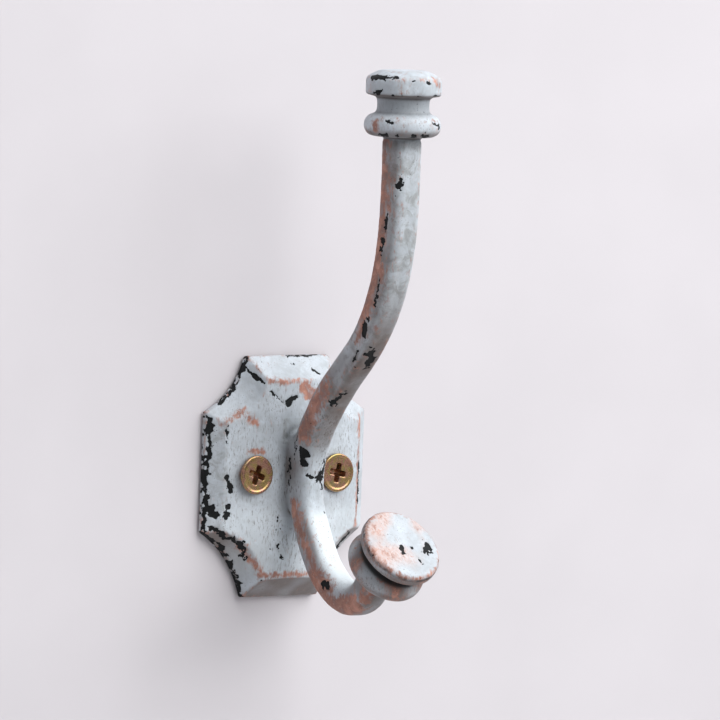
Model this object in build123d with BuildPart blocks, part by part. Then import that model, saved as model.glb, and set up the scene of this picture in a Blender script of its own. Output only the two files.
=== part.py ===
"""Hat-and-coat wall hook: one iron casting and the two wood screws that hold it to the wall.

Millimetres, Z up. The back of the plate lies on the wall plane Y = 0 and the hook reaches out
towards -Y. The casting is symmetric about X = 0.
"""

import os
from math import cos, radians, sin

from build123d import *

# Back plate outline, measured on the wall plane.
PLATE_HALF_WIDTH = 23.0
PLATE_HALF_HEIGHT = 28.2
EAR_TOP = 11.9  # half length of the straight top edge
EAR_BOTTOM = 11.0  # half length of the straight bottom edge
SHOULDER_TOP = 15.4  # where the straight sides end, above the middle
SHOULDER_BOTTOM = 12.7  # and below it
SCOOP_SAG = 2.0  # how far each corner scoop bows inwards
PLATE_EDGE = 1.4  # thickness of the plate's square rim

# The bevels, given by the outline they would reach at BEVEL_TOP above the wall.
BEVEL_TOP = 8.0
BEVEL_SIDE = 14.6
BEVEL_HEIGHT_UP = 21.6
BEVEL_HEIGHT_DOWN = 22.1
BEVEL_EAR_TOP = 8.4
BEVEL_EAR_BOTTOM = 7.9
BEVEL_SHOULDER_TOP = 10.1
BEVEL_SHOULDER_BOTTOM = 11.5

# The front face is crowned across the plate.
CROWN_EDGE = 4.4  # height at the two side ridges
CROWN_HALF_SPAN = 19.2
CROWN_MIDDLE = 6.8  # height on the centre line

# The bar that makes both hooks, as (y, z) points on its centre line.
UPPER_END = (-42.0, 82.0)
UPPER_BAR = [
    (-42.1, 70.0),
    (-41.4, 58.0),
    (-38.1, 44.5),
    (-31.1, 32.7),
    (-21.4, 22.7),
    (-15.2, 14.6),
    (-11.5, 7.6),
    (-10.3, 1.0),
    (-10.6, -5.0),
]
LOWER_BAR = [
    (-12.9, -10.6),
    (-15.4, -14.9),
    (-17.8, -18.6),
    (-21.0, -21.9),
    (-25.6, -24.8),
    (-31.2, -25.7),
    (-36.0, -23.4),
]
BAR_WIDTH = 7.3
BAR_DEPTH = 7.5
BAR_CORNER = 2.5

# Rib that joins the bar to the plate.
RIB_WIDTH = 6.8
RIB_TOP = 11.0
RIB_BOTTOM = -7.5
ROOT_HALF_WIDTH = 4.7
ROOT_TAPER = 50

# Finial on the upper hook, turned about a vertical axis.
FINIAL_Y = -41.9
DISC_RADIUS = 9.0
NECK_RADIUS = 6.05
FINIAL_FOOT = 81.6
FINIAL_NECK_START = 86.8
FINIAL_NECK_END = 90.9
FINIAL_RIM_TOP = 95.2
FINIAL_TOP = 96.9
FINIAL_FLAT_RADIUS = 5.6

# Knob on the lower hook, turned about an axis that climbs towards -Y.
KNOB_FACE = (-48.4, -11.1)
KNOB_TILT = 42.0
KNOB_RADIUS = 9.9
KNOB_BULB_RADIUS = 9.6  # of the rear disc
KNOB_DISC = 3.5  # thickness of the front disc
KNOB_GROOVE = 2.4  # width of the groove behind it
KNOB_BULB = 6.0  # length of the rear disc
KNOB_STEM = 2.0  # taper from the rear disc to the bar

# Wood screws, 4.5 x 35 with a countersunk head and a cross recess.
SCREW_X = 11.65
SCREW_Z = 1.0
SCREW_FACE = 7.1  # height of the head's face above the wall
SCREW_LENGTH = 35.0
HEAD_RADIUS = 4.5
HEAD_RIM = 0.6
DISH_RADIUS = 3.7  # the face is dished inside a raised rim
DISH_DEPTH = 0.15
NECK_OF_SCREW = 2.36  # the forged neck under the head, a little thicker than the shank
NECK_FOOT = 0.4  # where it has tapered down to the shank, behind the wall plane
SHANK_RADIUS = 2.25
SHANK_END = 4.4  # where the plain shank ends, behind the wall plane
CORE_RADIUS = 1.6
THREAD_PITCH = 2.0
THREAD_START = 5.4  # behind the wall plane
THREAD_FOOT = 1.45  # the ridge is rooted a little inside the core
TIP_LENGTH = 4.5
RECESS_SPAN = 4.6
RECESS_SLOT = 1.45
RECESS_DEPTH = 2.3
RECESS_TURN = {"left_screw": -19, "right_screw": -12}

# Clearance of the casting around each screw.
HOLE_RADIUS = 2.5
SINK_START = 4.3  # height above the wall where the 90 degree countersink starts
SINK_END = 8.0


def scoop(start, end):
    """A corner scoop: an arc from start to end that bows towards the middle of the plate."""
    chord = Vector(*end) - Vector(*start)
    middle = (Vector(*end) + Vector(*start)) / 2
    across = Vector(-chord.Y, chord.X).normalized()
    inwards = across if across.dot(middle) < 0 else across * -1
    return ThreePointArc(start, middle + inwards * SCOOP_SAG, end)


def plate_outline(side, up, down, ear_up, ear_down, shoulder_up, shoulder_down):
    """The plate's closed outline: four straight edges and four scooped corners."""
    corners = [
        (-ear_up, up),
        (ear_up, up),
        (side, shoulder_up),
        (side, -shoulder_down),
        (ear_down, -down),
        (-ear_down, -down),
        (-side, -shoulder_down),
        (-side, shoulder_up),
    ]
    for i, corner in enumerate(corners):
        following = corners[(i + 1) % len(corners)]
        if i % 2 == 0:
            Line(corner, following)
        else:
            scoop(corner, following)


def rim_outline():
    """The outline of the plate's square rim."""
    plate_outline(
        PLATE_HALF_WIDTH,
        PLATE_HALF_HEIGHT,
        PLATE_HALF_HEIGHT,
        EAR_TOP,
        EAR_BOTTOM,
        SHOULDER_TOP,
        SHOULDER_BOTTOM,
    )


def bevel_outline():
    """The outline that the four bevels and the scoops lean in to."""
    plate_outline(
        BEVEL_SIDE,
        BEVEL_HEIGHT_UP,
        BEVEL_HEIGHT_DOWN,
        BEVEL_EAR_TOP,
        BEVEL_EAR_BOTTOM,
        BEVEL_SHOULDER_TOP,
        BEVEL_SHOULDER_BOTTOM,
    )


def yz(point):
    """A (y, z) point of the bar's centre line in space."""
    return (0, point[0], point[1])


# Frame of the knob: origin on its face, Z along its axis and away from the bar.
knob_axis = (0, -cos(radians(KNOB_TILT)), sin(radians(KNOB_TILT)))
knob_plane = Plane(origin=yz(KNOB_FACE), x_dir=(1, 0, 0), z_dir=knob_axis)
bulb_start = -KNOB_DISC - KNOB_GROOVE
bulb_end = bulb_start - KNOB_BULB
stem_end = bulb_end - KNOB_STEM
finial_plane = Plane(origin=(0, FINIAL_Y, 0), x_dir=(1, 0, 0), z_dir=(0, 0, 1))


with BuildPart() as hook_casting:
    # Square rim, then bevels and scoops up to the crowned front.
    with BuildSketch(Plane.XZ):
        with BuildLine():
            rim_outline()
        make_face()
    extrude(amount=PLATE_EDGE)
    with BuildSketch(Plane.XZ.offset(PLATE_EDGE)):
        with BuildLine():
            rim_outline()
        make_face()
    with BuildSketch(Plane.XZ.offset(BEVEL_TOP)):
        with BuildLine():
            bevel_outline()
        make_face()
    loft(ruled=True)
    with BuildSketch(Plane.XY.offset(-PLATE_HALF_HEIGHT - 1)):
        with BuildLine():
            Polyline(
                (-CROWN_HALF_SPAN, -CROWN_EDGE),
                (-PLATE_HALF_WIDTH - 1, -CROWN_EDGE),
                (-PLATE_HALF_WIDTH - 1, 0),
                (PLATE_HALF_WIDTH + 1, 0),
                (PLATE_HALF_WIDTH + 1, -CROWN_EDGE),
                (CROWN_HALF_SPAN, -CROWN_EDGE),
            )
            ThreePointArc(
                (CROWN_HALF_SPAN, -CROWN_EDGE),
                (0, -CROWN_MIDDLE),
                (-CROWN_HALF_SPAN, -CROWN_EDGE),
            )
        make_face()
    extrude(amount=2 * PLATE_HALF_HEIGHT + 2, mode=Mode.INTERSECT)

    # Rib between the plate and the bar, on a flared root.
    with BuildSketch(Plane.XZ.offset(CROWN_EDGE)):
        with Locations((0, (RIB_TOP + RIB_BOTTOM) / 2)):
            SlotOverall(RIB_TOP - RIB_BOTTOM + 4, 2 * ROOT_HALF_WIDTH, rotation=90)
    extrude(amount=4.0, taper=ROOT_TAPER / 2)
    with BuildSketch(Plane.XZ.offset(CROWN_EDGE)):
        with Locations((0, (RIB_TOP + RIB_BOTTOM) / 2)):
            SlotOverall(RIB_TOP - RIB_BOTTOM, RIB_WIDTH, rotation=90)
    extrude(amount=5.5)

    # The bar: down the upper hook, along the rib and out again to the knob.
    with BuildLine() as bar_line:
        bar_end = knob_plane.from_local_coords((0, 0, stem_end + 1.0))
        Spline(
            *[yz(p) for p in [UPPER_END] + UPPER_BAR + LOWER_BAR],
            bar_end,
            tangents=[(0, 0, -1), knob_axis],
        )
    with BuildSketch(Plane(origin=yz(UPPER_END), x_dir=(1, 0, 0), z_dir=(0, 0, -1))):
        RectangleRounded(BAR_WIDTH, BAR_DEPTH, BAR_CORNER)
    sweep(path=bar_line.wires()[0])

    # Finial: round lower disc and neck, then an eight-sided top disc with a chamfered crown.
    with BuildSketch(Plane.XZ.offset(-FINIAL_Y)):
        with BuildLine():
            Polyline((0, FINIAL_FOOT), (6.2, FINIAL_FOOT))
            Spline(
                (6.2, FINIAL_FOOT),
                (8.4, FINIAL_FOOT + 0.9),
                (DISC_RADIUS, FINIAL_FOOT + 2.6),
                (8.4, FINIAL_FOOT + 4.4),
                (NECK_RADIUS, FINIAL_NECK_START),
            )
            Polyline(
                (NECK_RADIUS, FINIAL_NECK_START),
                (NECK_RADIUS, FINIAL_NECK_END + 1),
                (0, FINIAL_NECK_END + 1),
                (0, FINIAL_FOOT),
            )
        make_face()
    revolve(axis=Axis((0, FINIAL_Y, 0), (0, 0, 1)))
    with BuildSketch(finial_plane.offset(FINIAL_NECK_END)):
        RegularPolygon(DISC_RADIUS * 1.02, 8)
        fillet(objects=vertices(), radius=4)
    extrude(amount=FINIAL_RIM_TOP - FINIAL_NECK_END)
    with BuildSketch(finial_plane.offset(FINIAL_RIM_TOP)):
        RegularPolygon(DISC_RADIUS * 1.02, 8)
        fillet(objects=vertices(), radius=4)
    with BuildSketch(finial_plane.offset(FINIAL_TOP)):
        Circle(FINIAL_FLAT_RADIUS)
    loft()

    # Knob: rear disc, groove and front disc.
    with BuildSketch(Plane(origin=knob_plane.origin, x_dir=knob_plane.y_dir, z_dir=(1, 0, 0))):
        with BuildLine():
            Polyline((0, stem_end), (3.6, stem_end))
            Spline(
                (3.6, stem_end),
                (7.5, bulb_end + 0.6),
                (KNOB_BULB_RADIUS, bulb_end + 3.0),
                (9.15, bulb_start - 1.0),
                (NECK_RADIUS, bulb_start),
            )
            Polyline(
                (NECK_RADIUS, bulb_start),
                (NECK_RADIUS, -KNOB_DISC),
                (KNOB_RADIUS - 0.7, -KNOB_DISC),
                (KNOB_RADIUS, -KNOB_DISC + 0.7),
                (KNOB_RADIUS, -0.8),
                (KNOB_RADIUS - 0.8, -0.1),
                (0, 0),
                (0, stem_end),
            )
        make_face()
    revolve(axis=Axis(knob_plane.origin, knob_axis))

    # Countersunk clearance holes for the screws.
    with BuildSketch(Plane.XZ):
        with Locations((-SCREW_X, SCREW_Z), (SCREW_X, SCREW_Z)):
            Circle(HOLE_RADIUS)
    extrude(amount=SINK_END, mode=Mode.SUBTRACT)
    for side in (-SCREW_X, SCREW_X):
        with BuildSketch(Plane.XZ.offset(SINK_START)):
            with Locations((side, SCREW_Z)):
                Circle(HOLE_RADIUS)
        with BuildSketch(Plane.XZ.offset(SINK_END)):
            with Locations((side, SCREW_Z)):
                Circle(HOLE_RADIUS + SINK_END - SINK_START)
        loft(mode=Mode.SUBTRACT)

hook_casting.part.label = "hook_casting"

# The two screws differ only in their place and in how far the recess was turned when driven home.
screws = {}
for screw_name, x in {"left_screw": -SCREW_X, "right_screw": SCREW_X}.items():
    head_cone_end = -SCREW_FACE + HEAD_RIM + HEAD_RADIUS - NECK_OF_SCREW
    tip = SCREW_LENGTH - SCREW_FACE
    with BuildPart() as screw:
        # Head, shank, thread core and point, turned about the screw's axis.
        with BuildSketch(Plane.XY.offset(SCREW_Z)):
            with BuildLine():
                Polyline(
                    (x, -SCREW_FACE + DISH_DEPTH),
                    (x + DISH_RADIUS, -SCREW_FACE + DISH_DEPTH),
                    (x + DISH_RADIUS + DISH_DEPTH, -SCREW_FACE),
                    (x + HEAD_RADIUS - 0.15, -SCREW_FACE),
                    (x + HEAD_RADIUS, -SCREW_FACE + 0.15),
                    (x + HEAD_RADIUS, -SCREW_FACE + HEAD_RIM),
                    (x + NECK_OF_SCREW, head_cone_end),
                    (x + SHANK_RADIUS, NECK_FOOT),
                    (x + SHANK_RADIUS, SHANK_END),
                    (x + CORE_RADIUS, SHANK_END + SHANK_RADIUS - CORE_RADIUS),
                    (x + CORE_RADIUS, tip - TIP_LENGTH),
                    (x, tip),
                    close=True,
                )
            make_face()
        revolve(axis=Axis((x, 0, SCREW_Z), (0, 1, 0)))

        # The thread is a sharp ridge on a helix around the core.
        with BuildLine() as thread_line:
            Helix(
                THREAD_PITCH,
                tip - TIP_LENGTH - THREAD_START,
                THREAD_FOOT,
                center=(x, THREAD_START, SCREW_Z),
                direction=(0, 1, 0),
            )
        thread_wire = thread_line.wires()[0]
        outwards = (thread_wire @ 0 - Vector(x, THREAD_START, SCREW_Z)).normalized()
        around = Vector(0, 1, 0).cross(outwards)
        with BuildSketch(Plane(origin=thread_wire @ 0, x_dir=outwards, z_dir=around)):
            with BuildLine():
                Polyline(
                    (0, -0.42),
                    (SHANK_RADIUS - THREAD_FOOT, -0.06),
                    (SHANK_RADIUS - THREAD_FOOT, 0.06),
                    (0, 0.42),
                    close=True,
                )
            make_face()
        sweep(path=thread_wire, is_frenet=True)

        # The cross recess narrows towards its floor.
        with BuildSketch(Plane.XZ.offset(SCREW_FACE)):
            with Locations((x, SCREW_Z)):
                Rectangle(RECESS_SPAN, RECESS_SLOT, rotation=RECESS_TURN[screw_name])
                Rectangle(RECESS_SLOT, RECESS_SPAN, rotation=RECESS_TURN[screw_name])
        extrude(amount=-RECESS_DEPTH, taper=10, mode=Mode.SUBTRACT)
    screw.part.label = screw_name
    screws[screw_name] = screw.part

os.makedirs("parts", exist_ok=True)
export_step(hook_casting.part, "parts/hook_casting.step")
for screw_name, screw_part in screws.items():
    export_step(screw_part, f"parts/{screw_name}.step")
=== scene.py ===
"""Hat-and-coat wall hook in distressed paint, with its two yellow-zinc wood screws.

Metres, Z up, wall plane Y = 0. Meshes are worked on in millimetres and scaled at the end.
"""

from math import cos, radians, sin

import bmesh
import bpy
import numpy as np
from mathutils import Matrix, Vector, noise


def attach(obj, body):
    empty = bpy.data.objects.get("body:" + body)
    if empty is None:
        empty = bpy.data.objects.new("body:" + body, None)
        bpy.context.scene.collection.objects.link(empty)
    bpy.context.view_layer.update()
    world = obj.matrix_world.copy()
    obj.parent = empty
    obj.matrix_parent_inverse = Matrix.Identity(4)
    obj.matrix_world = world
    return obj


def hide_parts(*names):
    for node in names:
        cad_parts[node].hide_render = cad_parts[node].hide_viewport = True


MM = 0.001
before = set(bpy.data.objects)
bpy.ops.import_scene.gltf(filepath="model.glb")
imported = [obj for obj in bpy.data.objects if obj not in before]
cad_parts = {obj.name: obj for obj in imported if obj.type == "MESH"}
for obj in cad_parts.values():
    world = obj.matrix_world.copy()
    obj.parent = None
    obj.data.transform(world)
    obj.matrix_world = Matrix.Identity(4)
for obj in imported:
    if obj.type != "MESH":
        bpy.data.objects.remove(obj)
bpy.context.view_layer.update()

# Sizes in millimetres that the finish and the fillets are placed by.
CASTING_VOXEL = 0.28
SCREW_VOXEL = 0.13
PAINT_THICKNESS = 0.13
RIB_TOP = 11.0
RIB_BOTTOM = -7.5
FINIAL_Y = -41.9
FINIAL_FOOT = 81.6
DISC_RADIUS = 9.0
KNOB_FACE = np.array([0.0, -48.4, -11.1])
KNOB_TILT = radians(42)
KNOB_AXIS = np.array([0.0, -cos(KNOB_TILT), sin(KNOB_TILT)])
KNOB_UP = np.array([0.0, sin(KNOB_TILT), cos(KNOB_TILT)])
KNOB_RADIUS = 9.9
KNOB_EDGE = -0.9  # depth at which the knob's face turns into its side
KNOB_GROOVE = (-5.8, -3.9)  # depths of the groove behind the front disc
KNOB_BACK = -13.5  # depth at which the bar takes over
RIB_HALF = 4.4
RIB_ROOT = (-9.6, -5.0)  # heights off the wall that the rib's fillets span
BAR_FOOT = -11  # the bar stands clear of the rib beyond this
PLATE_FRONT = -7.6
PLATE_BACK = -0.5  # anything nearer the wall is the plate's back
ARM_HEIGHTS = (19, 80.2)
FINIAL_NECK = (87.6, 90.6)
FINIAL_LIP = (89.4, 91.7)  # heights of the top disc's lower edge
ARM_TOP = (80.0, 81.4)

# How often each part of the casting is smoothed, and how much of it the knob keeps.
CAST_STEPS = 9
RIB_STEPS = 60
WORN_STEPS = 22
CREASE_STEPS = 16
KNOB_WEAR = 0.35

# Centre line of the bar as (y, z), from the finial down to the knob.
BAR_LINE = np.array(
    [
        (-42.0, 82.0),
        (-42.1, 70.0),
        (-41.4, 58.0),
        (-38.1, 44.5),
        (-31.1, 32.7),
        (-21.4, 22.7),
        (-15.2, 14.6),
        (-11.5, 7.6),
        (-10.3, 1.0),
        (-10.6, -5.0),
        (-12.9, -10.6),
        (-15.4, -14.9),
        (-17.8, -18.6),
        (-21.0, -21.9),
        (-25.6, -24.8),
        (-31.2, -25.7),
        (-36.0, -23.4),
    ]
)
BAR_HALF = 3.7
BAR_CORNERS = 0.05  # how much fuller the corners are cast than an even rounding

# The bar's thickness as cast, against the even bar of the frame, by height above the middle.
BAR_SWELL = {18: 0.97, 22: 0.95, 33: 0.93, 44: 1.0, 57: 1.04, 82: 1.04}

# Paint chipped to the black iron, as (half width, points). On the plate a point is (x, z).
PLATE_CHIPS = [
    (0.34, [(-8.2, 20.3), (-4.0, 17.1), (-0.8, 19.4)]),
    (0.55, [(-3.8, 17.3), (-2.2, 18.5)]),
    (0.28, [(4.9, 25.2), (6.3, 24.2)]),
    (0.30, [(-0.3, 28.2), (9.8, 28.2)]),
    (0.32, [(-12.1, 27.9), (-13.2, 24.4), (-15.7, 20.4), (-19.4, 17.3)]),
    (0.28, [(-12.6, 25.8), (-10.2, 22.4)]),
    (0.50, [(-22.0, 13.6), (-22.3, 8.0), (-22.4, 1.0)]),
    (0.42, [(-22.8, 1.0), (-22.2, -6.0)]),
    (0.42, [(-22.4, -5.0), (-22.6, -12.0)]),
    (0.80, [(-21.3, -6.6), (-21.0, -8.4)]),
    (0.55, [(-18.4, -6.4), (-18.2, -9.0)]),
    (0.16, [(-18.9, 12.2), (-18.9, 8.0)]),
    (0.50, [(-18.6, 0.2), (-17.6, -2.8)]),
    (0.46, [(-22.0, -11.0), (-17.5, -13.6), (-13.9, -15.2), (-12.4, -19.2)]),
    (0.36, [(-22.6, -12.9), (-18.6, -15.4), (-15.2, -19.0), (-12.6, -23.4), (-11.3, -27.6)]),
    (0.42, [(-5.2, -9.3), (-5.2, -9.6)]),
    (0.40, [(-5.0, -12.0), (-5.0, -12.2)]),
    (0.42, [(-6.8, -16.3), (-6.6, -16.5)]),
    (0.26, [(-4.9, -15.7), (-3.3, -19.0)]),
    (0.34, [(20.3, 3.0), (20.3, -7.0)]),
    (0.75, [(14.0, -17.9), (17.9, -14.0)]),
]

# On the bar a point is (distance down the centre line, distance round from the front).
BAR_CHIPS = [
    (0.50, [(9.8, -2.2), (12.0, -2.6)]),
    (0.42, [(18.0, -5.6), (21.0, -5.7)]),
    (0.38, [(24.0, -5.9), (27.0, -6.1)]),
    (0.42, [(33.0, -5.2), (38.5, -5.0)]),
    (0.85, [(44.0, -5.2), (47.0, -4.8)]),
    (0.50, [(45.5, 4.2), (48.5, 4.4)]),
    (1.00, [(50.5, -0.8), (54.5, 0.2)]),
    (0.45, [(51.5, -4.2), (54.0, -3.8)]),
    (0.75, [(64.5, -1.6), (68.5, -2.2)]),
    (0.95, [(83.6, -3.9), (87.4, -3.7)]),
    (0.56, [(90.0, -2.0), (91.0, 1.4), (90.2, 2.1), (86.0, 2.2)]),
    (0.44, [(91.0, 1.4), (93.4, 2.0)]),
    (0.24, [(80.5, -7.4), (84.5, -7.2)]),
    (0.22, [(87.0, -7.7), (93.5, -7.4)]),
    (0.26, [(84.0, -6.4), (86.5, -6.5)]),
    (0.75, [(118.5, -5.4), (120.6, -5.0)]),
]

# On the finial a point is (height, distance round from the front at the rim).
FINIAL_CHIPS = [
    (0.64, [(95.1, -16.2), (95.1, -11.2)]),
    (0.36, [(95.4, -11.6), (95.6, -7.8)]),
    (0.58, [(91.9, -13.8), (92.2, -11.6)]),
    (0.24, [(94.9, -3.6), (94.9, -3.4)]),
    (0.24, [(94.5, -0.2), (94.2, 1.4)]),
    (0.26, [(91.3, 3.2), (91.4, 4.6)]),
    (0.28, [(85.4, -10.0), (85.0, -8.0)]),
    (0.45, [(82.1, -12.5), (82.1, -10.0)]),
    (0.40, [(82.1, -7.4), (82.1, -6.8)]),
    (0.40, [(82.1, -3.2), (82.1, -2.4)]),
    (0.45, [(82.3, -0.4), (82.3, 1.4)]),
    (0.50, [(85.0, 2.6), (84.4, 5.6)]),
]

# On the knob's face a point is (x, up the face).
KNOB_CHIPS = [
    (0.80, [(5.5, -2.0), (7.1, -1.8), (6.7, -0.2)]),
    (0.62, [(-1.2, -0.9), (-1.1, -2.3)]),
    (0.28, [(1.8, -1.4), (1.9, -1.2)]),
    (0.30, [(2.4, -4.2), (2.9, -5.6)]),
]

# Topcoat rubbed through to the copper undercoat, in the same coordinates.
PLATE_COPPER = [
    (1.9, [(1.0, 20.8), (4.2, 19.4)]),
    (0.7, [(-8.5, 22.6), (3.0, 22.4)]),
    (0.78, [(-20.0, 12.6), (-14.2, 16.2)]),
    (0.75, [(-13.6, 14.0), (-11.0, 12.6)]),
    (0.8, [(-13.4, 6.2), (-9.4, 6.4)]),
    (0.8, [(-9.0, -22.6), (4.0, -22.4)]),
    (0.62, [(-14.6, -15.4), (-11.2, -18.8), (-8.8, -22.2)]),
    (0.7, [(19.6, 14.0), (19.6, -12.0)]),
    (0.9, [(5.8, -4.6), (7.0, -6.0)]),
]
FINIAL_COPPER = [
    (1.25, [(84.6, -13.0), (83.6, -12.8)]),
    (0.80, [(94.8, 3.0), (93.4, 5.4)]),
    (0.55, [(85.9, 3.2), (85.3, 5.2)]),
]
BAR_COPPER = [
    (2.5, [(0.0, -7.9), (22.0, -7.7), (44.0, -7.4)]),
    (1.0, [(10.0, -5.0), (17.0, -5.2)]),
    (1.3, [(30.0, -5.0), (33.0, -4.8)]),
    (1.5, [(45.0, -6.0), (50.0, -5.8)]),
    (2.4, [(66.0, -6.0), (80.0, -5.6)]),
    (1.7, [(97.0, -6.0), (122.0, -4.8)]),
    (3.0, [(115.0, -7.4), (131.0, -8.0)]),
    (1.5, [(18.0, 7.4), (46.0, 7.2)]),
    (2.0, [(68.0, 6.4), (80.0, 6.0)]),
    (1.7, [(98.0, 6.4), (124.0, 6.0)]),
]


# The stage in metres, except the opening, which is the right half of it in millimetres.
WALL_Y = 0.0004
PANEL = 0.5
PANEL_OPENING = [
    (10.5, 26.5),
    (15.0, 18.5),
    (21.5, 14.5),
    (21.5, -11.8),
    (15.0, -17.0),
    (9.8, -26.5),
]
FLOOR_Z = -0.9
FLOOR = 6
WALL_COLOUR = (0.655, 0.63, 0.66)
FLOOR_COLOUR = (0.72, 0.70, 0.70)

# Lamps and camera, in metres.
HOOK_MIDDLE = (0, -0.02, 0.03)
KEY_PLACE = (0.58, -0.98, 1.12)
FILL_PLACE = (1.3, -1.3, 0.5)
AZIMUTH = radians(-37)
ELEVATION = radians(4.5)
ROLL = radians(2.174)
DISTANCE = 2.0754
AIM_RIGHT = 0.01862
AIM_UP = 0.02682
FOCAL_LENGTH = 446.2

# The paint's colours, linear.
DUCK_EGG = (0.475, 0.52, 0.565)
PALE_DUCK_EGG = (0.565, 0.615, 0.67)
BRIGHT_DUCK_EGG = (0.64, 0.715, 0.79)
# Smudged topcoat, also used as painted shade on the plate's left bevel.
SMUDGE_AND_SHADE = (0.25, 0.255, 0.25)
# Whiter topcoat, also used as painted light on the lower hook's upward faces.
CHALK_AND_LIGHT = (0.74, 0.81, 0.85)
BLUSH = (0.66, 0.43, 0.36)
DRY_DIRT = (0.17, 0.165, 0.165)
# Brown wax, also used as painted shade on downward faces and the bar's left flank.
WAX_AND_SHADE = (0.14, 0.105, 0.09)
COPPER = (0.30, 0.135, 0.10)
PALE_COPPER = (0.55, 0.28, 0.21)
BROWN_COPPER = (0.19, 0.115, 0.095)
DUSTY_COPPER = (0.60, 0.52, 0.49)
# Dark dirt, also used as painted shade in hollows and painted shadow under the discs.
GRIME_AND_SHADE = (0.035, 0.035, 0.036)
CRUMB = (0.05, 0.05, 0.055)
IRON = (0.005, 0.006, 0.007)

# Yellow zinc's colours, linear.
GOLD = (0.37, 0.255, 0.10)
PINK_GOLD = (0.40, 0.21, 0.15)
GREEN_GOLD = (0.23, 0.265, 0.11)
DULL_GOLD = (0.30, 0.21, 0.12)


def even_copy(node, name, voxel):
    """A copy of a CAD node's shape in millimetres, remeshed into even faces."""
    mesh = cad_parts[node].data.copy()
    mesh.transform(Matrix.Scale(1 / MM, 4))
    weld = bmesh.new()
    weld.from_mesh(mesh)
    bmesh.ops.remove_doubles(weld, verts=weld.verts, dist=0.001)
    weld.to_mesh(mesh)
    weld.free()
    piece = bpy.data.objects.new(name, mesh)
    bpy.context.scene.collection.objects.link(piece)
    remesh = piece.modifiers.new("even", "REMESH")
    remesh.mode = "VOXEL"
    remesh.voxel_size = voxel
    depsgraph = bpy.context.evaluated_depsgraph_get()
    even = bpy.data.meshes.new_from_object(piece.evaluated_get(depsgraph))
    piece.modifiers.clear()
    piece.data = even
    even.materials.clear()
    return piece


def points_of(mesh, what="co"):
    """The mesh's vertex positions, or its vertex normals, as an array."""
    values = np.zeros(len(mesh.vertices) * 3)
    mesh.vertices.foreach_get(what, values)
    return values.reshape(-1, 3)


def put_points(mesh, points):
    """Moves the mesh's vertices to these points."""
    mesh.vertices.foreach_set("co", points.ravel())
    mesh.update()


def edges_of(mesh):
    """The mesh's edges as pairs of vertex numbers."""
    pairs = np.zeros(len(mesh.edges) * 2, int)
    mesh.edges.foreach_get("vertices", pairs)
    return pairs.reshape(-1, 2)


def relax(values, edges, steps, weight=0.5):
    """Moves each vertex's values towards the mean of its neighbours."""
    count = len(values)
    near, far = edges[:, 0], edges[:, 1]
    neighbours = np.bincount(edges.ravel(), minlength=count)[:, None]
    for _ in range(steps):
        total = np.empty_like(values)
        for axis in range(values.shape[1]):
            column = values[:, axis]
            total[:, axis] = np.bincount(near, column[far], count)
            total[:, axis] += np.bincount(far, column[near], count)
        values = values + weight * (total / neighbours - values)
    return values


def step_up(values, low, high):
    """0 below low, 1 above high, and smooth between them."""
    t = np.clip((values - low) / (high - low), 0, 1)
    return t * t * (3 - 2 * t)


def window(values, low, high, soft):
    """1 from low to high, fading to 0 over soft on both sides."""
    return step_up(values, low - soft, low) * (1 - step_up(values, high, high + soft))


def grain(points, size, offset):
    """Smooth noise from about -1 to 1 with features of this size."""
    shifted = points / size + offset
    return np.array([noise.noise(Vector(p)) for p in shifted])


def marks(places, strokes, lace):
    """How deep each place lies inside the nearest stroke. Lace makes the width uneven."""
    depth = np.full(len(places), -9.0)
    for half_width, line in strokes:
        for start, end in zip(line[:-1], line[1:]):
            start, end = np.array(start), np.array(end)
            run = end - start
            along = np.clip((places - start) @ run / (run @ run), 0, 1)
            gap = np.linalg.norm(places - start - along[:, None] * run, axis=1)
            depth = np.maximum(depth, half_width * (1 + lace) - gap)
    return depth


def smooth_line(line, per_span=12):
    """A Catmull-Rom curve through the points of a line."""
    ends = np.vstack([2 * line[0] - line[1], line, 2 * line[-1] - line[-2]])
    t = np.linspace(0, 1, per_span, endpoint=False)[:, None]
    spans = []
    for a, b, c, d in zip(ends[:-3], ends[1:-2], ends[2:-1], ends[3:]):
        curve = 2 * b + (c - a) * t + (2 * a - 5 * b + 4 * c - d) * t**2
        spans.append((curve + (3 * b - a - 3 * c + d) * t**3) / 2)
    return np.vstack(spans + [line[-1:]])


def bar_coordinates(points):
    """For each point: distance down the bar, distance round it, centre, and distance from it."""
    line = smooth_line(BAR_LINE)
    lengths = np.linalg.norm(np.diff(line, axis=0), axis=1)
    down = np.concatenate([[0], np.cumsum(lengths)])
    tangent = np.gradient(line, axis=0)
    tangent /= np.linalg.norm(tangent, axis=1)[:, None]
    nearest = np.empty(len(points), int)
    for start in range(0, len(points), 20000):
        chunk = points[start : start + 20000, None, 1:]
        nearest[start : start + 20000] = ((chunk - line[None]) ** 2).sum(2).argmin(1)
    centre = np.column_stack([np.zeros(len(points)), line[nearest]])
    away = points - centre
    outward = np.column_stack([tangent[nearest][:, 1], -tangent[nearest][:, 0]])
    front = (away[:, 1:] * outward).sum(1)
    round_bar = np.arctan2(away[:, 0], front) * BAR_HALF
    return down[nearest], round_bar, centre, np.hypot(away[:, 0], front)


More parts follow.
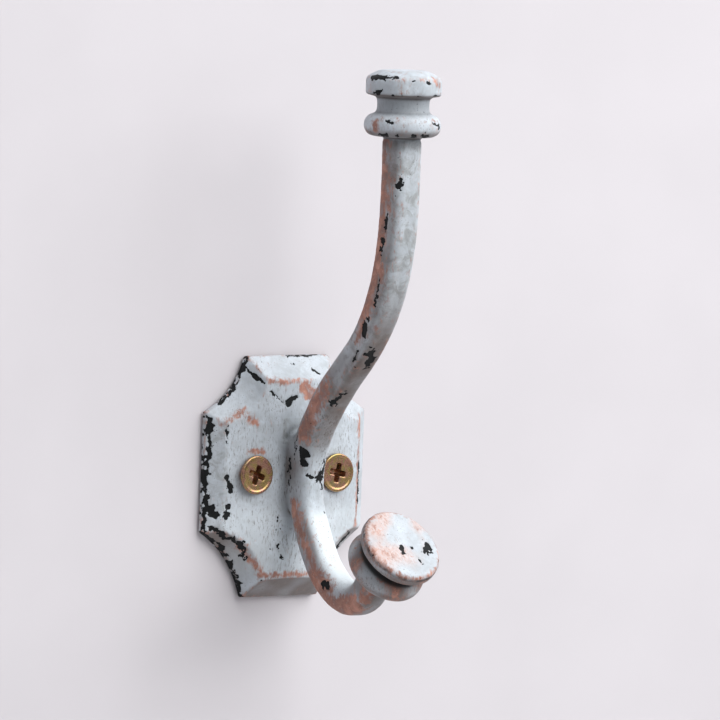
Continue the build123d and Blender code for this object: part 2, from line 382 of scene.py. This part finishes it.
def soften(points, edges):
    """Rounds the cast edges, most of all at the rib's root, the finial and the knob."""
    points = relax(points, edges, CAST_STEPS)

    # The rib runs into the plate and the bar through wide fillets.
    wide = relax(points, edges, RIB_STEPS)
    x, y, z = points.T
    root = window(z, RIB_BOTTOM - 3, RIB_TOP - 2.5, 1.5) * window(np.abs(x), 0, 6.4, 2)
    root *= window(y, *RIB_ROOT, 1.5)
    points += root[:, None] * (wide - points)

    # The finial and the knob are rounded further by the paint and by wear.
    rounder = relax(points, edges, WORN_STEPS)
    knob_front = ((points - KNOB_FACE) @ KNOB_AXIS > -3.4) & (points[:, 1] < -30)
    wear = np.where(points[:, 2] > FINIAL_FOOT, 1.0, KNOB_WEAR * knob_front)
    points += wear[:, None] * (rounder - points)
    return points


def swell_bar(points):
    """Thickens the bar under the finial and thins its bend. Gives its coordinates too."""
    down, round_bar, centre, gap = bar_coordinates(points)
    along_bar = (gap < 6.0) & (points[:, 1] < BAR_FOOT)
    heights = sorted(BAR_SWELL)
    swell = np.interp(points[:, 2], heights, [BAR_SWELL[h] for h in heights])
    fade = window(points[:, 2], *ARM_HEIGHTS, 1.2) * along_bar
    swell = 1 + (swell - 1) * fade
    swell += BAR_CORNERS * np.sin(2 * round_bar / BAR_HALF) ** 2 * fade
    return centre + (points - centre) * swell[:, None], down, round_bar


class Skin:
    """The casting's surface: its regions, their coordinates, and the noise the finish shares."""

    def __init__(self, points, normals, edges, down, round_bar):
        self.points, self.normals, self.edges = points, normals, edges
        self.x, self.y, self.z = points.T

        # Convex where a point stands out from the average around it.
        convex = ((points - relax(points, edges, CREASE_STEPS)) * normals).sum(1)
        self.convex = relax(convex[:, None], edges, 2)[:, 0]

        # A fine wobble, broad patches, and lace that makes the outline of a chip ragged.
        self.wobble = np.column_stack([grain(points, 1.1, o) for o in (3.1, 17.7)])
        self.wobble += 0.5 * np.column_stack([grain(points, 0.5, o) for o in (31.3, 47.9)])
        self.patch = grain(points, 5.0, 60.0)
        lace = 1.5 * grain(points, 1.5, 9.0) + 0.8 * grain(points, 0.7, 25.0)
        self.lace = np.clip(lace, -0.55, 1.3)

        # Every point lies in one region.
        off_rib = (np.abs(self.x) > RIB_HALF) | (self.z > RIB_TOP + 3) | (self.z < RIB_BOTTOM - 1.5)
        self.on_plate = (self.y > PLATE_FRONT) & off_rib
        self.on_finial = self.z > FINIAL_FOOT - 0.6
        off_axis = points - KNOB_FACE
        self.knob_depth = off_axis @ KNOB_AXIS
        beside = off_axis - self.knob_depth[:, None] * KNOB_AXIS
        self.from_knob_axis = np.linalg.norm(beside, axis=1)
        self.on_knob = (self.knob_depth > KNOB_BACK) & (self.y < -32) & (self.z < 10)
        self.on_bar = ~(self.on_plate | self.on_finial | self.on_knob)

        # Where a point lies in its region, in the coordinates of the tables above.
        turn = np.arctan2(self.x, -(self.y - FINIAL_Y)) * DISC_RADIUS
        self.plate_place = np.column_stack([self.x, self.z]) + 0.55 * self.wobble
        self.bar_place = np.column_stack([down, round_bar]) + 0.55 * self.wobble
        self.finial_place = np.column_stack([self.z, turn]) + 0.45 * self.wobble
        self.face_place = np.column_stack([self.x, off_axis @ KNOB_UP]) + 0.5 * self.wobble


def bare_iron(skin):
    """Above 0 where the paint is gone: at the chips, on sharp ridges and on the back."""
    bare = np.full(len(skin.points), -2.0)
    for region, place, chips in (
        (skin.on_plate, skin.plate_place, PLATE_CHIPS),
        (skin.on_bar, skin.bar_place, BAR_CHIPS),
        (skin.on_finial, skin.finial_place, FINIAL_CHIPS),
        (skin.on_knob & (skin.knob_depth > -1.2), skin.face_place, KNOB_CHIPS),
    ):
        bare[region] = marks(place[region], chips, skin.lace[region])
    ridge = (skin.convex - 0.075) * 9 + 0.8 * skin.wobble[:, 0] + 0.7 * skin.patch - 0.75
    scatter = 1.9 * grain(skin.points, 2.3, 140.0) + 0.8 * skin.lace + 6 * skin.convex - 2.05
    bare = np.maximum(bare, np.minimum(np.maximum(ridge, scatter), 0.5))

    # The back was never painted, and some spray reached it.
    overspray = 0.35 - 1.1 * skin.patch + 0.4 * skin.lace - 0.9 * (np.abs(skin.x) > 20.5)
    bare = np.where((skin.normals[:, 1] > 0.7) & (skin.y > -0.6), overspray, bare)
    return np.clip(bare, -2, 1)


def pink_blush(skin):
    """How far the copper glows through the thin topcoat of the knob's face."""
    blush = 0.35 + 1.5 * grain(skin.points, 5.5, 210.0) - 0.05 * skin.x
    return np.clip(blush, 0, 1) * (skin.on_knob & (skin.knob_depth > -1.0))


def rubbed_copper(skin, blush):
    """High where the topcoat is rubbed through: at the patches and along every edge."""
    copper = np.full(len(skin.points), -3.0)
    for region, place, rubs, strength in (
        (skin.on_plate, skin.plate_place, PLATE_COPPER, 1.7),
        (skin.on_bar, skin.bar_place, BAR_COPPER, 1.0),
        (skin.on_finial, skin.finial_place, FINIAL_COPPER, 1.6),
    ):
        copper[region] = strength * marks(place[region], rubs, 0.35 * skin.lace[region])
    edge = (skin.convex - 0.045) * 14 + 0.7 * skin.wobble[:, 1] + 0.5 * skin.patch - 0.5
    lip = skin.on_finial & (skin.z > FINIAL_LIP[0]) & (skin.z < FINIAL_LIP[1])
    copper = np.maximum(copper, np.where(lip, -2, edge))

    # The knob is rubbed on its face, under its rim and round the edge of its front disc.
    face = skin.on_knob & (skin.knob_depth > -1.0)
    copper = np.where(face, np.maximum(copper, 0.9 * blush - 0.95), copper)
    under_rim = skin.on_knob & (skin.knob_depth <= -1.0) & (skin.z < KNOB_FACE[2] - 2)
    copper = np.where(under_rim, np.maximum(copper, -0.1 + 1.2 * skin.patch), copper)
    knob_edge = 0.75 - np.abs(skin.from_knob_axis - (KNOB_RADIUS - 0.55))
    knob_edge = knob_edge - np.abs(skin.knob_depth - KNOB_EDGE) * 0.6
    knob_edge = np.where(skin.on_knob, knob_edge + 0.5 * skin.wobble[:, 0], -2)
    copper = np.maximum(copper, knob_edge * 1.3)
    return np.clip(copper, -2, 2)


def grime_and_painted_shade(skin):
    """Dark dirt and painted shade in the hollows, darkening in the knob's groove, dirt round its
    rim, and painted shadow under the discs.
    """
    # Dirt and painted shade: hollows are darkened by how concave they are.
    grime_and_shade = np.clip(-skin.convex * 8, 0, 0.8)
    groove = window(skin.knob_depth, *KNOB_GROOVE, 0.3) * skin.on_knob
    groove *= skin.from_knob_axis < KNOB_RADIUS - 0.8
    grime_and_shade = relax(np.maximum(grime_and_shade, groove)[:, None], skin.edges, 1)[:, 0]
    rim = window(skin.knob_depth, KNOB_EDGE - 0.35, KNOB_EDGE + 0.05, 0.3) * skin.on_knob
    rim *= skin.from_knob_axis > KNOB_RADIUS - 1.0
    grime_and_shade = np.maximum(grime_and_shade, rim * np.clip(0.62 + 0.5 * skin.lace, 0.25, 0.95))
    # Painted shadow: on the finial's neck under the top disc, and on the top of the arm under the
    # lower disc.
    shade = 0.34 * window(skin.z, *FINIAL_NECK, 1.6)
    shade = shade + 0.42 * window(skin.z, *ARM_TOP, 2.2) * (skin.y < -30)
    return np.maximum(grime_and_shade, shade * (1 + 0.35 * skin.patch))


def wax_and_painted_shade(skin):
    """Brown wax and painted shade on what looks down and on the bar's left flank, away from the
    light, and wax on the knob's sides.
    """
    # Painted shade: faces are browned by how far they look down.
    wax_and_shade = step_up(-skin.normals[:, 2], 0.15, 0.7) * (0.95 + 0.4 * skin.patch)
    knob_sides = skin.on_knob * (skin.knob_depth < -1.1)
    wax_and_shade = np.maximum(wax_and_shade, knob_sides * (0.55 + 0.9 * skin.patch))
    # Painted shade and wax: the bar's left flank, turned from the key light, is browned.
    shaded_left_flank = skin.on_bar * step_up(-skin.normals[:, 0], 0.55, 0.95)
    wax_and_shade = np.maximum(wax_and_shade, shaded_left_flank * (0.5 + 0.6 * skin.patch))
    return np.where(skin.y > PLATE_BACK, 0, np.clip(wax_and_shade, 0, 1))


def chalk_and_painted_light(skin):
    """Whiter topcoat low on the plate, and whiter topcoat with painted light on the lower hook's
    upward faces.
    """
    # Painted light: the lower hook's faces are whitened by how far they look up.
    chalk_and_light = skin.on_bar * step_up(-skin.z, 5, 9) * step_up(skin.normals[:, 2], 0.1, 0.55)
    return np.where(skin.on_plate, 0.35 * window(skin.z, -20, -9, 4), chalk_and_light)


def smudge_and_painted_shade(skin):
    """How smudged the topcoat is: most on the arm; on the plate's left bevel the smudge is also
    painted shade, turned from the key light.
    """
    handled_and_shade = np.where(skin.on_bar & (skin.z > 8), 0.74, 0.24)
    # Painted shade: the left bevel, turned away from the light, is darkened as if smudged.
    shaded_left_bevel = skin.on_plate & (skin.x < -18.4) & (np.abs(skin.z - 0.5) < 13)
    return np.where(shaded_left_bevel, 0.66, handled_and_shade)


def dry_streaks(skin):
    """How much dry-brushed dirt shows: on the plate's face, down the rib, round the knob."""
    facing = np.clip(-skin.normals[:, 1], 0, 1)
    streak = np.where(skin.on_plate, 0.1 + 0.9 * facing**6, 0.3)
    streak = np.where(skin.on_bar & (skin.z < 16) & (skin.z > -6), 1.6, streak)
    return np.where(skin.on_knob & (skin.knob_depth < -1.3), 0.9, streak)


def build_casting():
    """The casting: soft cast fillets, uneven skin and chipped paint, all in the mesh."""
    piece = even_copy("hook_casting", "painted_casting", CASTING_VOXEL)
    mesh = piece.data
    edges = edges_of(mesh)
    points = soften(points_of(mesh), edges)
    points, down, round_bar = swell_bar(points)
    put_points(mesh, points)
    skin = Skin(points, points_of(mesh, "normal"), edges, down, round_bar)
    bare = bare_iron(skin)
    blush = pink_blush(skin)
    layers = {
        "bare": bare,
        "copper": rubbed_copper(skin, blush),
        "grime_and_shade": grime_and_painted_shade(skin),
        "streak": dry_streaks(skin),
        "wax_and_shade": wax_and_painted_shade(skin),
        "chalk_and_light": chalk_and_painted_light(skin),
        "handled_and_shade": smudge_and_painted_shade(skin),
        "blush": blush,
    }

    # The skin is uneven from the mould, and the paint has a real thickness.
    unevenness = 0.055 * grain(points, 3.6, 81.0) + 0.03 * skin.wobble[:, 0]
    paint = PAINT_THICKNESS * (1 - step_up(bare, -0.18, 0.18))
    inside = PAINT_THICKNESS + 0.06
    offset = np.clip(unevenness, -0.1, 0.06) + paint - inside
    offset = np.where(skin.y > PLATE_BACK, 0, offset)
    put_points(mesh, points + skin.normals * offset[:, None])

    for name, values in layers.items():
        layer = mesh.attributes.new(name, "FLOAT", "POINT")
        layer.data.foreach_set("value", values.astype(np.float32))
    return piece


def build_screw(node):
    """One screw, with the rim of its head and the arrises of its recess eased."""
    piece = even_copy(node, node.replace("screw", "wood_screw"), SCREW_VOXEL)
    mesh = piece.data
    put_points(mesh, relax(points_of(mesh), edges_of(mesh), 2))
    return piece


def finish_mesh(piece):
    """Back to metres, with smooth shading."""
    piece.data.transform(Matrix.Scale(MM, 4))
    piece.data.shade_smooth()


class Shading:
    """A short way to write a node tree. Each method returns the output socket it makes."""

    def __init__(self, name):
        self.material = bpy.data.materials.new(name)
        self.material.use_nodes = True
        self.tree = self.material.node_tree
        self.shader = self.tree.nodes["Principled BSDF"]
        coordinates = self.tree.nodes.new("ShaderNodeTexCoord")
        self.place = coordinates.outputs["Object"]

    def link(self, value, socket):
        if isinstance(value, bpy.types.NodeSocket):
            self.tree.links.new(value, socket)
        else:
            socket.default_value = value

    def math(self, operation, a, b=0.0, clamp=False):
        node = self.tree.nodes.new("ShaderNodeMath")
        node.operation = operation
        node.use_clamp = clamp
        self.link(a, node.inputs[0])
        self.link(b, node.inputs[1])
        return node.outputs[0]

    def stretched(self, scale):
        node = self.tree.nodes.new("ShaderNodeMapping")
        self.link(self.place, node.inputs["Vector"])
        node.inputs["Scale"].default_value = scale
        return node.outputs[0]

    def noise(self, size_mm, detail=3.0, rough=0.55, place=None, warp=0.0):
        node = self.tree.nodes.new("ShaderNodeTexNoise")
        self.link(place or self.place, node.inputs["Vector"])
        node.inputs["Scale"].default_value = 1 / (size_mm * MM)
        node.inputs["Detail"].default_value = detail
        node.inputs["Roughness"].default_value = rough
        node.inputs["Distortion"].default_value = warp
        return node.outputs["Fac"]

    def layer(self, name):
        node = self.tree.nodes.new("ShaderNodeAttribute")
        node.attribute_name = name
        return node.outputs["Fac"]

    def remap(self, value, low, high, to_low=0.0, to_high=1.0):
        node = self.tree.nodes.new("ShaderNodeMapRange")
        node.interpolation_type = "SMOOTHSTEP"
        self.link(value, node.inputs["Value"])
        node.inputs["From Min"].default_value = low
        node.inputs["From Max"].default_value = high
        node.inputs["To Min"].default_value = to_low
        node.inputs["To Max"].default_value = to_high
        return node.outputs["Result"]

    def mix(self, factor, a, b):
        node = self.tree.nodes.new("ShaderNodeMix")
        node.data_type = "RGBA"
        self.link(factor, node.inputs["Factor"])
        for value, socket in ((a, node.inputs[6]), (b, node.inputs[7])):
            self.link((*value, 1.0) if isinstance(value, tuple) else value, socket)
        return node.outputs[2]

    def bump(self, height, strength, distance_mm, normal=None):
        node = self.tree.nodes.new("ShaderNodeBump")
        node.inputs["Strength"].default_value = strength
        node.inputs["Distance"].default_value = distance_mm * MM
        self.link(height, node.inputs["Height"])
        if normal is not None:
            self.link(normal, node.inputs["Normal"])
        return node.outputs["Normal"]


def distressed_paint():
    """Duck-egg topcoat over a copper undercoat on black iron, dry-brushed and chipped."""
    s = Shading("distressed_paint")
    broad = s.noise(9, 3)
    blotch = s.noise(2.6, 4, 0.6, warp=0.6)
    fine = s.noise(0.55, 3, 0.6)
    speck = s.noise(0.35, 2, 0.5)
    strokes = s.noise(1.0, 4, 0.62, s.stretched((3.0, 2.0, 0.75)))
    brush = s.noise(0.9, 4, 0.65, s.stretched((1.0, 1.0, 0.3)), warp=0.8)

    # Masks, from the mesh's layers made ragged with fine noise.
    ragged = s.math("MULTIPLY", s.math("SUBTRACT", fine, 0.5), 0.9)
    bare = s.remap(s.math("ADD", s.layer("bare"), ragged), -0.03, 0.05)
    dry = s.math("MULTIPLY", s.math("SUBTRACT", brush, 0.5), 5.0)
    copper = s.remap(s.math("ADD", s.layer("copper"), dry), -0.5, 1.3)
    copper = s.math("MULTIPLY", copper, s.remap(blotch, 0.3, 0.5, 0.55, 1.0))
    streak = s.math("MULTIPLY", s.remap(strokes, 0.53, 0.66), s.layer("streak"))
    streak = s.math("MULTIPLY", streak, s.remap(broad, 0.38, 0.58, 0.35, 1.0))
    crumb = s.math("MULTIPLY", s.remap(speck, 0.68, 0.72), s.remap(broad, 0.45, 0.6))

    # Colours.
    top = s.mix(s.remap(broad, 0.35, 0.65), DUCK_EGG, PALE_DUCK_EGG)
    top = s.mix(s.remap(blotch, 0.5, 0.75, 0, 0.55), top, BRIGHT_DUCK_EGG)
    # Smudge on the arm, and painted shade on the plate's left bevel.
    smudge_and_shade = s.noise(3.4, 5, 0.65, warp=1.0)
    smudge_and_shade = s.math("MULTIPLY", s.remap(smudge_and_shade, 0.42, 0.66, 0.25, 1.0), s.layer("handled_and_shade"))
    top = s.mix(smudge_and_shade, top, SMUDGE_AND_SHADE)
    # Whiter topcoat, and painted light on the lower hook's upward faces.
    top = s.mix(s.math("MULTIPLY", s.layer("chalk_and_light"), 0.85), top, CHALK_AND_LIGHT)
    blush = s.math("MULTIPLY", s.layer("blush"), s.remap(brush, 0.3, 0.6, 0.35, 0.8))
    top = s.mix(blush, top, BLUSH)
    top = s.mix(s.math("MULTIPLY", streak, 0.75), top, DRY_DIRT)
    # Wax, and painted shade on downward faces and the bar's left flank.
    top = s.mix(s.math("MULTIPLY", s.layer("wax_and_shade"), 0.85), top, WAX_AND_SHADE)
    under = s.mix(s.remap(blotch, 0.35, 0.7), COPPER, PALE_COPPER)
    under = s.mix(s.remap(broad, 0.42, 0.6, 0.0, 0.45), under, BROWN_COPPER)
    under = s.mix(s.remap(fine, 0.6, 0.75, 0, 0.5), under, DUSTY_COPPER)
    colour = s.mix(copper, top, under)
    # Dark dirt, painted shade in the hollows and painted shadow under the discs.
    colour = s.mix(s.math("MULTIPLY", s.layer("grime_and_shade"), 0.9, True), colour, GRIME_AND_SHADE)
    colour = s.mix(crumb, colour, CRUMB)
    colour = s.mix(bare, colour, IRON)
    s.link(colour, s.shader.inputs["Base Color"])

    # Gloss: chalky paint, slightly waxed where it is rubbed, and smoother bare iron.
    rough = s.remap(blotch, 0.3, 0.7, 0.62, 0.48)
    rough = s.math("ADD", rough, s.math("MULTIPLY", bare, 0.15))
    s.link(rough, s.shader.inputs["Roughness"])
    s.shader.inputs["Specular IOR Level"].default_value = 0.28

    # Relief: brush marks and grain in the paint, and a crisp lip around every chip.
    lip = s.math("SUBTRACT", 1.0, bare)
    normal = s.bump(strokes, 0.30, 0.10)
    normal = s.bump(fine, 0.22, 0.06, normal)
    normal = s.bump(lip, 0.8, 0.10, normal)
    s.link(normal, s.shader.inputs["Normal"])
    return s.material


def yellow_zinc():
    """Yellow-passivated zinc: gold, with pink and green drifting over it and dull scuffs."""
    s = Shading("yellow_zinc")
    drift = s.noise(2.2, 2, 0.5, warp=1.2)
    tint = s.noise(1.3, 3, 0.5, warp=0.8)
    scuff = s.noise(0.3, 4, 0.7)
    gold = s.mix(s.remap(drift, 0.35, 0.6), GOLD, PINK_GOLD)
    gold = s.mix(s.remap(tint, 0.55, 0.7, 0, 0.6), gold, GREEN_GOLD)
    gold = s.mix(s.remap(scuff, 0.55, 0.75, 0, 0.5), gold, DULL_GOLD)
    s.link(gold, s.shader.inputs["Base Color"])
    s.shader.inputs["Metallic"].default_value = 0.9
    s.link(s.remap(scuff, 0.3, 0.7, 0.2, 0.4), s.shader.inputs["Roughness"])
    s.link(s.bump(scuff, 0.25, 0.03), s.shader.inputs["Normal"])
    return s.material


def pale(name, colour, one_sided=False):
    """A plain matt surface. A one-sided one can't be seen from behind."""
    s = Shading(name)
    mottle = s.noise(40, 2)
    tone = s.mix(s.remap(mottle, 0.3, 0.7), colour, tuple(c * 0.97 for c in colour))
    s.link(tone, s.shader.inputs["Base Color"])
    s.shader.inputs["Roughness"].default_value = 0.9
    if one_sided:
        geometry = s.tree.nodes.new("ShaderNodeNewGeometry")
        clear = s.tree.nodes.new("ShaderNodeBsdfTransparent")
        choose = s.tree.nodes.new("ShaderNodeMixShader")
        s.link(geometry.outputs["Backfacing"], choose.inputs[0])
        s.link(s.shader.outputs[0], choose.inputs[1])
        s.link(clear.outputs[0], choose.inputs[2])
        s.link(choose.outputs[0], s.tree.nodes["Material Output"].inputs["Surface"])
    return s.material


def sheet(name, outlines, material, normal):
    """A flat stage surface inside the first outline and outside any other, in metres."""
    mesh = bpy.data.meshes.new(name)
    shape = bmesh.new()
    for outline in outlines:
        ring = [shape.verts.new(corner) for corner in outline]
        for start, end in zip(ring, ring[1:] + ring[:1]):
            shape.edges.new((start, end))
    bmesh.ops.triangle_fill(shape, edges=shape.edges[:], use_beauty=True, normal=normal)
    for face in shape.faces:
        face.normal_update()
        if face.normal.dot(Vector(normal)) < 0:
            face.normal_flip()
    shape.to_mesh(mesh)
    shape.free()
    surface = bpy.data.objects.new(name, mesh)
    bpy.context.scene.collection.objects.link(surface)
    mesh.materials.append(material)
    return surface


def soft_light(name, place, target, size, power, colour):
    """A large square lamp aimed at a point."""
    lamp = bpy.data.lights.new(name, "AREA")
    lamp.size = size
    lamp.energy = power
    lamp.color = colour
    holder = bpy.data.objects.new(name, lamp)
    bpy.context.scene.collection.objects.link(holder)
    holder.location = place
    aim = Vector(target) - Vector(place)
    holder.rotation_euler = aim.to_track_quat("-Z", "Y").to_euler()


def build_stage():
    """A pale wall panel just behind the plate, and a pale floor well below.

    The panel is open where the plate covers it, so that light reaches the plate's back.
    """
    corners = ((-1, -1), (1, -1), (1, 1), (-1, 1))
    panel = [(a * PANEL, WALL_Y, b * PANEL) for a, b in corners]
    mirrored = [(-x, z) for x, z in reversed(PANEL_OPENING)]
    opening = [(x * MM, WALL_Y, z * MM) for x, z in PANEL_OPENING + mirrored]
    sheet("wall", [panel, opening], pale("pale_wall", WALL_COLOUR, one_sided=True), (0, -1, 0))
    floor = [(a * FLOOR, b * FLOOR, FLOOR_Z) for a, b in corners]
    sheet("floor", [floor], pale("pale_floor", FLOOR_COLOUR), (0, 0, 1))


def build_world():
    """A cool sky that is brighter above and to the right than below and to the left."""
    world = bpy.data.worlds.new("studio")
    world.use_nodes = True
    sky = world.node_tree.nodes["Background"]
    direction = world.node_tree.nodes.new("ShaderNodeTexCoord")
    height = world.node_tree.nodes.new("ShaderNodeVectorMath")
    height.operation = "DOT_PRODUCT"
    height.inputs[1].default_value = (0.45, 0.0, 0.89)
    fade = world.node_tree.nodes.new("ShaderNodeMapRange")
    fade.inputs["From Min"].default_value = -0.5
    fade.inputs["From Max"].default_value = 0.7
    fade.inputs["To Min"].default_value = 0.10
    fade.inputs["To Max"].default_value = 0.60
    world.node_tree.links.new(direction.outputs["Generated"], height.inputs[0])
    world.node_tree.links.new(height.outputs["Value"], fade.inputs["Value"])
    world.node_tree.links.new(fade.outputs["Result"], sky.inputs["Strength"])
    sky.inputs["Color"].default_value = (0.90, 0.93, 0.97, 1)
    bpy.context.scene.world = world


def build_camera():
    """The camera: round to the left, a little above, and slightly rolled."""
    level = cos(ELEVATION)
    forward = Vector((-sin(AZIMUTH) * level, cos(AZIMUTH) * level, -sin(ELEVATION)))
    right = forward.cross(Vector((0, 0, 1))).normalized()
    up = right.cross(forward)
    rolled_right = cos(ROLL) * right + sin(ROLL) * up
    rolled_up = cos(ROLL) * up - sin(ROLL) * right
    aim_point = AIM_RIGHT * rolled_right + AIM_UP * rolled_up
    lens = bpy.data.cameras.new("camera")
    lens.lens = FOCAL_LENGTH
    lens.sensor_width = 36
    camera = bpy.data.objects.new("camera", lens)
    bpy.context.scene.collection.objects.link(camera)
    facing = Matrix((rolled_right, rolled_up, -forward)).transposed().to_4x4()
    camera.matrix_world = Matrix.Translation(aim_point - forward * DISTANCE) @ facing
    bpy.context.scene.camera = camera


# The pieces.
casting = build_casting()
finish_mesh(casting)
casting.data.materials.append(distressed_paint())
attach(casting, "casting")
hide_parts("hook_casting")

zinc = yellow_zinc()
for screw_name in ("left_screw", "right_screw"):
    screw = build_screw(screw_name)
    finish_mesh(screw)
    screw.data.materials.append(zinc)
    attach(screw, screw_name)
    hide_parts(screw_name)

build_stage()
soft_light("key", KEY_PLACE, HOOK_MIDDLE, 1.7, 39, (1.0, 0.99, 0.975))
soft_light("fill", FILL_PLACE, HOOK_MIDDLE, 0.9, 3, (0.96, 0.98, 1.0))
build_world()
build_camera()
bpy.context.scene.view_settings.view_transform = "Standard"
